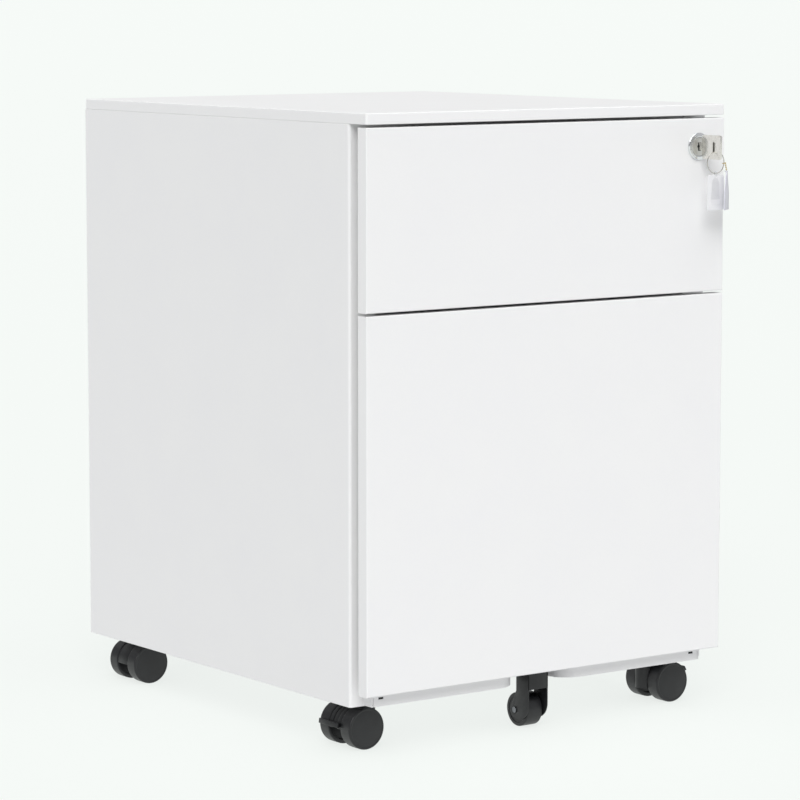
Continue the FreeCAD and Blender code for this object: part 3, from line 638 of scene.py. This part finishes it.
# ------------------------------------------------------------------ sub-assemblies
@dataclass
class Carcass:
    """Cap, sides, back, base and everything bolted to them."""

    painted: tuple[str, ...] = ("top_cap", "left_side_panel", "right_side_panel", "back_panel", "base_pan",
                                "base_front_rail", "top_front_rail", "left_rear_upright",
                                "right_rear_upright")
    plated: tuple[str, ...] = ("box_slide_cabinet_members", "file_slide_cabinet_members", "lock_bar_guides",
                               "caster_stems", "caster_plates", "caster_nuts")
    screw_rows: int = 5
    screw_radius: float = 3.6
    recess: float = 2.4
    slot_inset: float = 9.5
    slot_drop: float = 2.0

    def build(self) -> None:
        """Dress the sheet metal and set the back's screws."""
        for node in self.painted:
            PAINTS.dress(node, POWDER)
        for node in self.plated:
            PAINTS.dress(node, ZINC)
        PAINTS.dress("lock_bar", ZINC)
        self.back_screws()
        self.rail_slot_shades()

    def rail_slot_shades(self) -> None:
        """Dark plates set in the two small slots of the toe rail: painted shade, so the slots read dark."""
        low, high = corners("base_front_rail")
        middle_z, deep_y = high.z - self.slot_drop, low.y + 0.6
        # painted shade: dark plates fill the slots where only shadow would be
        piece = Piece("rail_slot_bungs", "cabinet", Slot.NYLON, NYLON)
        outline = [(-2.55, -0.95), (2.55, -0.95), (2.55, 0.95), (-2.55, 0.95)]
        for x in (low.x + self.slot_inset, high.x - self.slot_inset):
            piece.plate([outline], 0.5, 0.0, Matrix.Translation(Vector((x, deep_y, middle_z))))
        piece.finish_up()

    def back_screws(self) -> None:
        """Pan-head screws with a cross recess, down both edges of the back."""
        low, high = corners("back_panel_screws")
        deep = high.y - low.y
        xs = (low.x + self.screw_radius, high.x - self.screw_radius)
        bottom, top = low.z + self.screw_radius, high.z - self.screw_radius
        gap = (top - bottom) / (self.screw_rows - 1)
        places = [Vector((x, low.y, bottom + row * gap)) for row in range(self.screw_rows) for x in xs]
        piece = Piece("back_panel_screw_heads", "cabinet", Slot.ZINC, ZINC)
        COPIES.run(piece, places, pan_head(self.screw_radius, deep, self.recess), ("back_panel_screws",),
                   (0.0, 1.0, 0.0), seed=11)


def pan_head(radius: float, height: float, recess: float) -> Piece:
    """Screw head along +Y with a cross-shaped recess.

    Args:
        radius: Radius of the head.
        height: Height of the head.
        recess: Half the length of each arm of the cross.

    Returns:
        An unplaced piece that holds the head's mesh, seated on Y = 0.
    """
    head = Piece("pan_head", "cabinet", Slot.ZINC, ZINC)
    arm = recess * 0.28
    cross = [(arm, recess), (-arm, recess), (-arm, arm), (-recess, arm), (-recess, -arm), (-arm, -arm),
             (-arm, -recess), (arm, -recess), (arm, -arm), (recess, -arm), (recess, arm), (arm, arm)]
    count = 48
    rim = [(radius * 0.82 * math.cos(2 * math.pi * step / count),
            radius * 0.82 * math.sin(2 * math.pi * step / count)) for step in range(count)]
    top = height * 0.92
    mesh = head.mesh
    ring = [mesh.verts.new((x, top, z)) for x, z in rim]
    hole = [mesh.verts.new((x, top, z)) for x, z in cross]
    edges = [mesh.edges.new(pair) for loop in (ring, hole) for pair in zip(loop, loop[1:] + loop[:1])]
    bmesh.ops.triangle_fill(mesh, use_beauty=True, use_dissolve=False, edges=edges)
    floor = [mesh.verts.new((x * 0.7, height * 0.25, z * 0.7)) for x, z in cross]
    for index in range(len(cross)):
        after = (index + 1) % len(cross)
        mesh.faces.new((hole[index], hole[after], floor[after], floor[index]))
    mesh.faces.new(floor)
    below = [mesh.verts.new((x / 0.82, height * 0.45, z / 0.82)) for x, z in rim]
    seat = [mesh.verts.new((x / 0.82, 0.0, z / 0.82)) for x, z in rim]
    for first, second in ((ring, below), (below, seat)):
        head.bridge(first, second, count)
    mesh.faces.new(seat)
    return head


@dataclass
class Drawer:
    """One drawer: front, liner, tray, slides, and the hem along the tray's rim."""

    name: str
    body: str
    extra_plated: tuple[str, ...] = ()
    hem_radius: float = 1.1
    hem_front: float = 1.5
    ball_radius: float = 1.35
    ball_pitch: float = 7.0
    cage_end: float = 12.0
    wall_x: float = 156.0
    member_sheet: float = 1.2
    race_inset: float = 3.6

    def build(self) -> None:
        """Dress the drawer's nodes, then add its hem and its balls."""
        for part in ("front", "liner", "tray", "striker"):
            PAINTS.dress(f"{self.name}_drawer_{part}", POWDER)
        for part in ("drawer", "middle"):
            PAINTS.dress(f"{self.name}_slide_{part}_members", ZINC)
        for node in self.extra_plated:
            PAINTS.dress(node, ZINC)
        self.hem()
        self.balls()

    def hem(self) -> None:
        """Rolled hem on the tray's back and side rims, inside the sheet."""
        low, high = corners(f"{self.name}_drawer_tray")
        inner = (self.wall_x if high.x > self.wall_x + 0.5 else high.x) - self.hem_radius
        z = high.z - self.hem_radius
        front_y, back_y = low.y + self.hem_front, high.y - self.hem_radius
        turn = 6.0
        path = [Vector((-inner, front_y, z)), Vector((-inner, back_y - turn, z))]
        path += [Vector((-inner + turn * (1 - math.cos(a)), back_y - turn + turn * math.sin(a), z))
                 for a in (math.pi / 12 * step for step in range(1, 7))]
        path += [Vector((-p.x, p.y, p.z)) for p in reversed(path)]
        piece = Piece(f"{self.name}_drawer_tray_hem", self.body, Slot.WHITE, POWDER)
        piece.tube(path, self.hem_radius, 10)
        piece.finish_up()

    def balls(self) -> None:
        """Rows of steel balls between the middle and the drawer members."""
        outer_low, outer_high = corners(f"{self.name}_slide_middle_members")
        inner_low, inner_high = corners(f"{self.name}_slide_drawer_members")
        half_gap = ((outer_high.z - inner_high.z) - self.member_sheet) / 2
        x = (inner_high.x + outer_high.x) / 2 - self.race_inset
        count = int((outer_high.y - outer_low.y - 2 * self.cage_end) / self.ball_pitch)
        places = [Vector((side * x, outer_low.y + self.cage_end + step * self.ball_pitch, z))
                  for side in (-1, 1) for z in (inner_high.z + half_gap, inner_low.z - half_gap)
                  for step in range(count)]
        ball = Piece("ball", self.body, Slot.ZINC, CHROME)
        bmesh.ops.create_uvsphere(ball.mesh, u_segments=10, v_segments=6, radius=self.ball_radius)
        piece = Piece(f"{self.name}_slide_balls", f"{self.name}_slide_middle", Slot.ZINC, CHROME)
        COPIES.run(piece, places, ball, smooth=80.0)


@dataclass
class LockAndKey:
    """Lock on the box drawer's front, with its key, ring and tags."""

    keyway_half: float = 3.7
    bow_length: float = 24.5
    ring_slot_from_end: float = 8.9
    ring_slot: tuple[float, float] = (1.2, 4.7)
    blade_half: float = 3.5
    cuts: tuple[float, ...] = (0.9, 2.1, 1.2, 2.4, 0.6)
    wire: float = 0.31
    ring_turns: int = 2
    panel_top: float = 2.9
    panel_height: float = 18.4
    panel_shift: float = -0.4
    chain: float = 6.5
    beads: int = 5

    def build(self) -> None:
        """Build every piece of the lock from the front backwards."""
        PAINTS.dress("lock_housing", ZINC)
        PAINTS.dress("lock_cam", ZINC)
        self.rosette()
        self.plug()
        self.key()
        self.ring()
        self.white_tag()
        self.grey_tag()

    def rosette(self) -> None:
        """Turned ring with a raised inner lip."""
        low, high = corners("lock_rosette")
        radius = (high.x - low.x) / 2
        thick = high.y - low.y
        bore = radius - 3.8
        centre = (low + high) / 2
        profile = [(bore, 0.0), (radius - 0.2, 0.0), (radius, 0.25), (radius - 0.05, thick * 0.45),
                   (radius - 0.35, thick * 0.72), (radius - 0.9, thick * 0.86), (bore + 1.7, thick * 0.9),
                   (bore + 1.35, thick * 0.93), (bore + 0.9, thick), (bore + 0.35, thick), (bore, thick * 0.9),
                   (bore, 0.0)]
        piece = Piece("lock_ring", "box_drawer", Slot.NICKEL, CHROME)
        piece.lathe(profile, Vector((centre.x, high.y, centre.z)), Vector((0, -1, 0)))
        piece.finish_up(("lock_rosette",), 50.0)

    def plug(self) -> None:
        """Plug face with a rounded rim, an engraved circle, and a near-black plate over the keyway as painted
        shade.
        """
        low, high = corners("lock_plug")
        radius = (high.x - low.x) / 2
        centre = (low + high) / 2
        front = low.y
        core = radius - 2.9
        profile = [(0.0, high.y - front), (core, high.y - front), (core, 1.45), (radius - 0.1, 1.45),
                   (radius, 1.3), (radius, 0.55), (radius - 0.18, 0.2), (radius - 0.6, 0.03), (radius - 1.2, 0.0),
                   (radius - 1.3, 0.14), (radius - 1.6, 0.14), (radius - 1.7, 0.0), (0.0, 0.0)]
        piece = Piece("lock_plug_core", "lock_plug", Slot.NICKEL, PLUG)
        piece.lathe(profile, Vector((centre.x, front, centre.z)), Vector((0, 1, 0)))
        piece.finish_up(("lock_plug",), 40.0)
        # painted shade: a thin near-black plate on the plug face stands for the shaded keyway
        mouth = Piece("keyway_mouth", "lock_plug", Slot.NICKEL, KEYWAY_SHADE)
        outline = [(1.6, self.keyway_half), (-1.6, self.keyway_half), (-1.75, 1.5), (-2.5, 0.6), (-2.5, -0.5),
                   (-1.75, -1.3), (-1.6, -self.keyway_half), (1.6, -self.keyway_half)]
        mouth.plate([outline], 0.12, 0.0, Matrix.Translation(Vector((centre.x, front - 0.03, centre.z))))
        mouth.finish_up()

    def key(self) -> None:
        """Flat key with a chamfered bow, a ring slot lined with painted shade, and cut teeth."""
        low, high = corners("key")
        bow_back = low.y + self.bow_length
        middle_y, middle_z = (low.y + bow_back) / 2, (low.z + high.z) / 2
        half_wide, half_high = (bow_back - low.y) / 2, (high.z - low.z) / 2
        bow = rounded(half_wide, half_high, 2.2)
        slot_y = low.y + self.ring_slot_from_end - middle_y
        hole = [(y + slot_y, z) for y, z in rounded(*self.ring_slot, 1.15)]
        turn = Matrix.Translation(Vector(((low.x + high.x) / 2, middle_y, middle_z))) @ Matrix(
            ((0, 1, 0, 0), (1, 0, 0, 0), (0, 0, 1, 0), (0, 0, 0, 1)))
        piece = Piece("door_key", "key", Slot.NICKEL, NICKEL)
        piece.plate([bow, hole], high.x - low.x, 0.3, turn)
        start, end = half_wide - 0.8, high.y - middle_y
        depth = self.blade_half
        teeth = [(start, -depth), (start, depth), (end - 1.5, depth), (end, depth - 1.8), (end, 0.4 - depth)]
        run = end - start - 4
        for step, cut in enumerate(self.cuts):
            at = end - 1.6 - step * run / 5
            teeth += [(at, -depth), (at - run / 14, cut - depth), (at - run / 8, cut - depth)]
        piece.plate([teeth], (high.x - low.x) * 0.92, 0.12, turn)
        piece.finish_up(("key",))
        # painted shade: a dark plate lines the ring slot where the inner wall would otherwise show lit
        lining = Piece("key_slot_lining", "key", Slot.NICKEL, SLOT_SHADE)
        inner = [(y + slot_y, z) for y, z in rounded(0.8, 4.3, 0.75)]
        lining.plate([hole, inner], (high.x - low.x) * 0.9, 0.0, turn)
        lining.finish_up()

    def ring(self) -> None:
        """Split ring: two turns of wire side by side."""
        low, high = corners("key_ring")
        centre = (low + high) / 2
        radius = (high.x - low.x) / 2 - 2 * self.wire
        steps = 72 * self.ring_turns
        path = []
        for step in range(steps + 1):
            turn = 2 * math.pi * self.ring_turns * step / steps
            shift = (step / steps - 0.5) * 2 * self.wire
            path.append(centre + Vector((radius * math.sin(turn), shift, -radius * math.cos(turn))))
        piece = Piece("split_ring", "key_ring", Slot.NICKEL, WIRE)
        piece.tube(path, self.wire, 10)
        piece.finish_up(("key_ring",))

    def white_tag(self) -> None:
        """Clear-white tag with a grey bell-shaped panel, hung on a wire eye."""
        low, high = corners("white_key_tag")
        eye = 3.35
        top = high.z - eye
        centre = Vector(((low.x + high.x) / 2, (low.y + high.y) / 2, (low.z + top) / 2))
        half_wide, half_high = (high.x - low.x) / 2, (top - low.z) / 2
        hole = [(0.9 * math.cos(a), half_high - 1.6 + 0.9 * math.sin(a))
                for a in (math.pi / 8 * step for step in range(16))]
        place = Matrix.Translation(centre)
        piece = Piece("white_tag", "white_key_tag", Slot.FILM, FILM)
        piece.plate([rounded(half_wide, half_high, 2.0), hole], 0.8, 0.15, place)
        piece.finish_up(("white_key_tag",))
        loop = Piece("white_tag_eye", "white_key_tag", Slot.NICKEL, CHROME)
        ring = [Vector((centre.x, centre.y + 1.5 * math.sin(a), high.z - 1.85 + 1.5 * math.cos(a)))
                for a in (math.pi / 12 * step for step in range(24))]
        loop.tube(ring, 0.3, 8, closed=True)
        loop.finish_up()
        panel = Piece("white_tag_panel", "white_key_tag", Slot.GREY, PANEL)
        high_z, low_z = half_high - self.panel_top, half_high - self.panel_top - self.panel_height
        bell = [(-5.1, low_z), (5.1, low_z), (4.4, low_z + 7), (4.1, high_z - 4), (3.2, high_z - 1.3),
                (2.2, high_z), (-2.2, high_z), (-3.2, high_z - 1.3), (-4.1, high_z - 4), (-4.4, low_z + 7)]
        front = place @ Matrix.Translation(Vector((self.panel_shift, -0.42, 0)))
        panel.plate([bell], 0.16, 0.0, front)
        panel.finish_up()
        foot = Piece("white_tag_panel_foot", "white_key_tag", Slot.GREY, PANEL_FOOT)
        strip = [(-5.2, low_z - 4.0), (5.2, low_z - 4.0), (5.2, low_z - 0.3), (-5.2, low_z - 0.3)]
        foot.plate([strip], 0.14, 0.0, front)
        foot.finish_up()

    def grey_tag(self) -> None:
        """Tapered second tag with softened edges, hung from the ring by an eye and a short ball chain."""
        high = corners("grey_key_tag")[1]
        ring_low, ring_high = corners("key_ring")
        eye = Vector((ring_high.x - 0.6, (ring_low.y + ring_high.y) / 2, high.z - 1.0))
        piece = Piece("grey_tag", "grey_key_tag", Slot.GREY, LILAC)
        piece.copy_node("grey_key_tag", 0.15, ceiling=eye.z - self.chain)
        piece.finish_up(("grey_key_tag",))
        link = Piece("tag_ball_chain", "grey_key_tag", Slot.NICKEL, BRASS)
        loop = [eye + Vector((1.5 * math.cos(a), 1.5 * math.sin(a), 0))
                for a in (math.pi / 12 * step for step in range(24))]
        link.tube(loop, 0.3, 8, closed=True)
        start, end = eye + Vector((1.5, -0.2, 0.2)), eye + Vector((2.0, -1.5, -self.chain - 0.6))
        link.tube([start, start.lerp(end, 0.5), end], 0.22, 8)
        for step in range(self.beads):
            bead = bmesh.new()
            bmesh.ops.create_uvsphere(bead, u_segments=14, v_segments=10, radius=0.72)
            bmesh.ops.translate(bead, verts=bead.verts[:], vec=start.lerp(end, step / (self.beads - 1)))
            link.absorb(bead)
        link.finish_up(smooth=80.0)


@dataclass
class Caster:
    """One twin-wheel caster; the front ones carry a foot brake."""

    name: str
    braked: bool
    edge: float = 1.5
    bore: float = 3.1

    def build(self) -> None:
        """Build the hood, both wheels and the lever, and dress the axle."""
        PAINTS.dress(f"{self.name}_axle", ZINC)
        hood = Piece(f"{self.name}_fork", self.name, Slot.NYLON, NYLON)
        hood.copy_node(f"{self.name}_hood", 0.45)
        hood.finish_up((f"{self.name}_hood",))
        for side in ("near", "far"):
            self.wheel(side)
        if self.braked:
            self.lever()

    def wheel(self, side: str) -> None:
        """Disc wheel: a straight tread, a rounded rim and a flat face set in a shallow step.

        Args:
            side: "near" or "far", the end of the axle that the wheel sits on.
        """
        node = f"{self.name}_{side}_wheel"
        low, high = corners(node)
        radius = (high.z - low.z) / 2
        wide = high.y - low.y
        outward = -1 if side == "near" else 1
        start_y = high.y if side == "near" else low.y
        start = Vector(((low.x + high.x) / 2, start_y, (low.z + high.z) / 2))
        rim = radius - self.edge
        profile = [(0.0, wide - 1.3), (self.bore, wide - 1.3), (self.bore, 0.5), (6.4, 0.5), (6.8, 0.9),
                   (7.0, 3.2), (rim - 2.4, 3.2), (rim - 2.0, 0.5), (rim - 1.7, 0.0), (rim + 0.7, 0.0),
                   (radius - 0.25, 0.25), (radius - 0.05, 0.8), (radius, 1.6), (radius, wide / 2),
                   (radius, wide - 2.0)]
        for step in range(7):
            turn = math.pi / 2 * step / 6
            profile.append((rim + self.edge * math.cos(turn), wide - self.edge + self.edge * math.sin(turn)))
        profile += [(rim - 0.7, wide), (rim - 0.95, wide - 0.12), (rim - 1.2, wide - 0.12),
                    (rim - 1.5, wide - 0.05), (0.0, wide - 0.02)]
        piece = Piece(f"{node}_disc", node, Slot.TREAD, WHEEL)
        piece.lathe(profile, start, Vector((0, outward, 0)))
        piece.finish_up((node,), 30.0)

    def lever(self) -> None:
        """Brake lever with softened edges."""
        node = f"{self.name}_brake_lever"
        piece = Piece(f"{node}_body", node, Slot.NYLON, NYLON)
        piece.copy_node(node, 0.4)
        piece.finish_up((node,))


@dataclass
class FifthWheel:
    """Anti-tip wheel and its fork under the file drawer."""

    edge: float = 1.2
    bore: float = 2.5
    sheet: float = 1.2
    fork_half: float = 11.0
    column: float = 17.2
    cheek_radius: float = 14.5
    cheek_rise: float = 6.5
    boss_radius: float = 7.0
    pin_radius: float = 2.7
    wall_height: float = 26.5
    web_gap: float = 1.2

    def build(self) -> None:
        """Build the fork and the wheel, and dress the pin and the screws."""
        PAINTS.dress("fifth_wheel_axle", PIN_STEEL)
        PAINTS.dress("fifth_wheel_screws", ZINC)
        self.fork()
        self.wheel()

    def fork(self) -> None:
        """Pressed fork: top plate, front wall, rear web and two cheeks that round off below the axle."""
        low, high = corners("fifth_wheel_bracket")
        hub_low, hub_high = corners("fifth_wheel")
        hub_y, hub_z = (hub_low.y + hub_high.y) / 2, (hub_low.z + hub_high.z) / 2
        piece = Piece("fifth_wheel_fork", "file_drawer", Slot.NYLON, NYLON)
        quarter = [math.pi / 24 * step for step in range(13)]
        turn_y, turn_z = low.y + self.cheek_radius, hub_z + self.cheek_rise
        cheek = [(low.y + self.column, high.z - 1.0), (low.y, high.z - 1.0)]
        cheek += [(turn_y - self.cheek_radius * math.cos(a), turn_z - self.cheek_radius * math.sin(a))
                  for a in quarter]
        cheek += [(hub_y + self.boss_radius * math.sin(a), hub_z - self.boss_radius * math.cos(a))
                  for a in quarter]
        cheek.append((low.y + self.column, hub_z + self.cheek_radius + 3.2))
        pin = [(hub_y + self.pin_radius * math.cos(4 * a), hub_z + self.pin_radius * math.sin(4 * a))
               for a in quarter[:-1]]
        for side in (-1, 1):
            sideways = Matrix(((0, 1, 0, side * (self.fork_half - self.sheet / 2)), (1, 0, 0, 0),
                               (0, 0, 1, 0), (0, 0, 0, 1)))
            piece.plate([cheek, pin], self.sheet, 0.25, sideways)
        for y, bottom in ((low.y, high.z - self.wall_height),
                          (low.y + self.column - self.sheet, hub_high.z + self.web_gap)):
            tall = high.z - 1.0 - bottom
            place = Matrix.Translation(Vector((0, y + self.sheet / 2, bottom + tall / 2)))
            piece.plate([rounded(self.fork_half - 0.05, tall / 2, 0.5)], self.sheet, 0.25, place)
        flat = Matrix(((1, 0, 0, 0), (0, 0, 1, (low.y + high.y) / 2), (0, 1, 0, high.z - 1.0), (0, 0, 0, 1)))
        piece.plate([rounded((high.x - low.x) / 2, (high.y - low.y) / 2, 2.0)], 2.0, 0.25, flat)
        piece.finish_up(("fifth_wheel_bracket",))

    def wheel(self) -> None:
        """Solid roller with a rounded tread and a recess in each face."""
        low, high = corners("fifth_wheel")
        radius = (high.z - low.z) / 2
        wide = high.x - low.x
        half = wide / 2
        profile = []
        for side in (-1, 1):
            face = [(self.bore, half), (5.0, half), (5.3, half - 0.6), (radius - 3.6, half - 0.6),
                    (radius - 3.2, half), (radius - self.edge, half)]
            face += [(radius - self.edge + self.edge * math.sin(a), half - self.edge + self.edge * math.cos(a))
                     for a in (math.pi / 10 * step for step in range(1, 6))]
            ordered = face if side < 0 else list(reversed(face))
            profile += [(r, side * along + half) for r, along in ordered]
        profile.append(profile[0])
        piece = Piece("fifth_wheel_roller", "fifth_wheel", Slot.TREAD, WHEEL)
        start = Vector((low.x, (low.y + high.y) / 2, (low.z + high.z) / 2))
        piece.lathe(profile, start, Vector((1, 0, 0)))
        piece.finish_up(("fifth_wheel",), 30.0)


@dataclass
class Studio:
    """Pale floor, soft light and the camera. Distances in metres, angles in degrees."""

    floor_half: float = 300.0
    floor_glow: float = 0.825
    floor_colour: str = "5c5e5c"
    sky: float = 0.36
    ground: float = 0.8
    heading: float = 35.807
    tilt: float = 6.865
    lens: float = 155.8
    stand: Point = (-1.8451, -2.3348, 0.1065)

    def build(self) -> None:
        """Lay the floor, light the set and place the camera."""
        view = bpy.context.scene.view_settings
        view.view_transform = "Standard"
        view.look = "None"
        self.floor()
        self.surroundings()
        self.sun("key_light", (-39.0, 40.0), 1.62, 30.0)
        self.sun("top_light", (-20.0, 80.0), 1.35, 50.0)
        self.sun("fill_light", (48.0, 35.0), 0.2, 60.0)
        self.camera()

    def floor(self) -> None:
        """Wide plain floor, a light table that glows by itself so that shadows on it stay faint."""
        level = CAD_BOX[0][2]
        half = self.floor_half
        data = bpy.data.meshes.new("floor")
        data.from_pydata([(-half, -half, level), (half, -half, level), (half, half, level),
                          (-half, half, level)], [], [(0, 1, 2, 3)])
        item = bpy.data.objects.new("floor", data)
        bpy.context.scene.collection.objects.link(item)
        table = Finish("lit_acrylic_floor", "f6faf7", "f6faf7", 0.95, 0.02, 4.0, 0.0, 400.0,
                       glow=self.floor_glow)
        material = PAINTS.get(table)
        shader = next(node for node in material.node_tree.nodes if node.type == "BSDF_PRINCIPLED")
        for link in list(shader.inputs["Base Color"].links):
            material.node_tree.links.remove(link)
        shader.inputs["Base Color"].default_value = linear(self.floor_colour)
        data.materials.append(material)
        item.visible_diffuse = False

    def surroundings(self) -> None:
        """Even pale surroundings, with their own strengths above and below the horizon."""
        world = bpy.data.worlds.new("studio")
        world.use_nodes = True
        tree = world.node_tree
        tree.nodes.clear()
        place = add(tree, "ShaderNodeTexCoord")
        split = add(tree, "ShaderNodeSeparateXYZ", {0: place.outputs["Generated"]})
        share = add(tree, "ShaderNodeMapRange", {"Value": split.outputs["Z"]},
                    {"From Min": -0.05, "From Max": 0.05, "To Min": self.ground, "To Max": self.sky})
        glow = add(tree, "ShaderNodeBackground", {"Strength": share.outputs["Result"]},
                   {"Color": linear("fafbfd")})
        add(tree, "ShaderNodeOutputWorld", {"Surface": glow.outputs[0]})
        bpy.context.scene.world = world

    def sun(self, name: str, direction: tuple[float, float], strength: float, softness: float) -> None:
        """Soft distant light.

        Args:
            name: Name of the light.
            direction: Heading it comes from (0 is the front, positive is the right) and its height.
            strength: Strength of the light.
            softness: Angular size in degrees.
        """
        lamp = bpy.data.lights.new(name, "SUN")
        lamp.energy = strength
        lamp.angle = math.radians(softness)
        item = bpy.data.objects.new(name, lamp)
        heading, height = (math.radians(value) for value in direction)
        aim = Vector((-math.sin(heading) * math.cos(height), math.cos(heading) * math.cos(height),
                      -math.sin(height)))
        item.rotation_euler = aim.to_track_quat("-Z", "Y").to_euler()
        bpy.context.scene.collection.objects.link(item)

    def camera(self) -> None:
        """Long lens at the left front corner, just above the cap."""
        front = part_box("top_cap")[0].y
        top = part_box("top_cap")[1].z
        lens = bpy.data.cameras.new("camera")
        lens.lens = self.lens
        lens.sensor_width = 36.0
        lens.clip_end = 1000.0
        item = bpy.data.objects.new("camera", lens)
        item.location = (self.stand[0], self.stand[1] + front, self.stand[2] + top)
        item.rotation_euler = (math.radians(90 - self.tilt), 0.0, -math.radians(self.heading))
        bpy.context.scene.collection.objects.link(item)
        bpy.context.scene.camera = item


def main() -> None:
    """Build the studio and every sub-assembly."""
    logging.basicConfig(level=logging.INFO, format="%(name)s: %(message)s")
    Studio().build()
    Carcass().build()
    Drawer("box", "box_drawer").build()
    Drawer("file", "file_drawer", ("hanging_file_rails",)).build()
    LockAndKey().build()
    for end in ("front", "rear"):
        for hand in ("left", "right"):
            Caster(f"{end}_{hand}_caster", end == "front").build()
    FifthWheel().build()


if __name__ == "__main__":
    main()
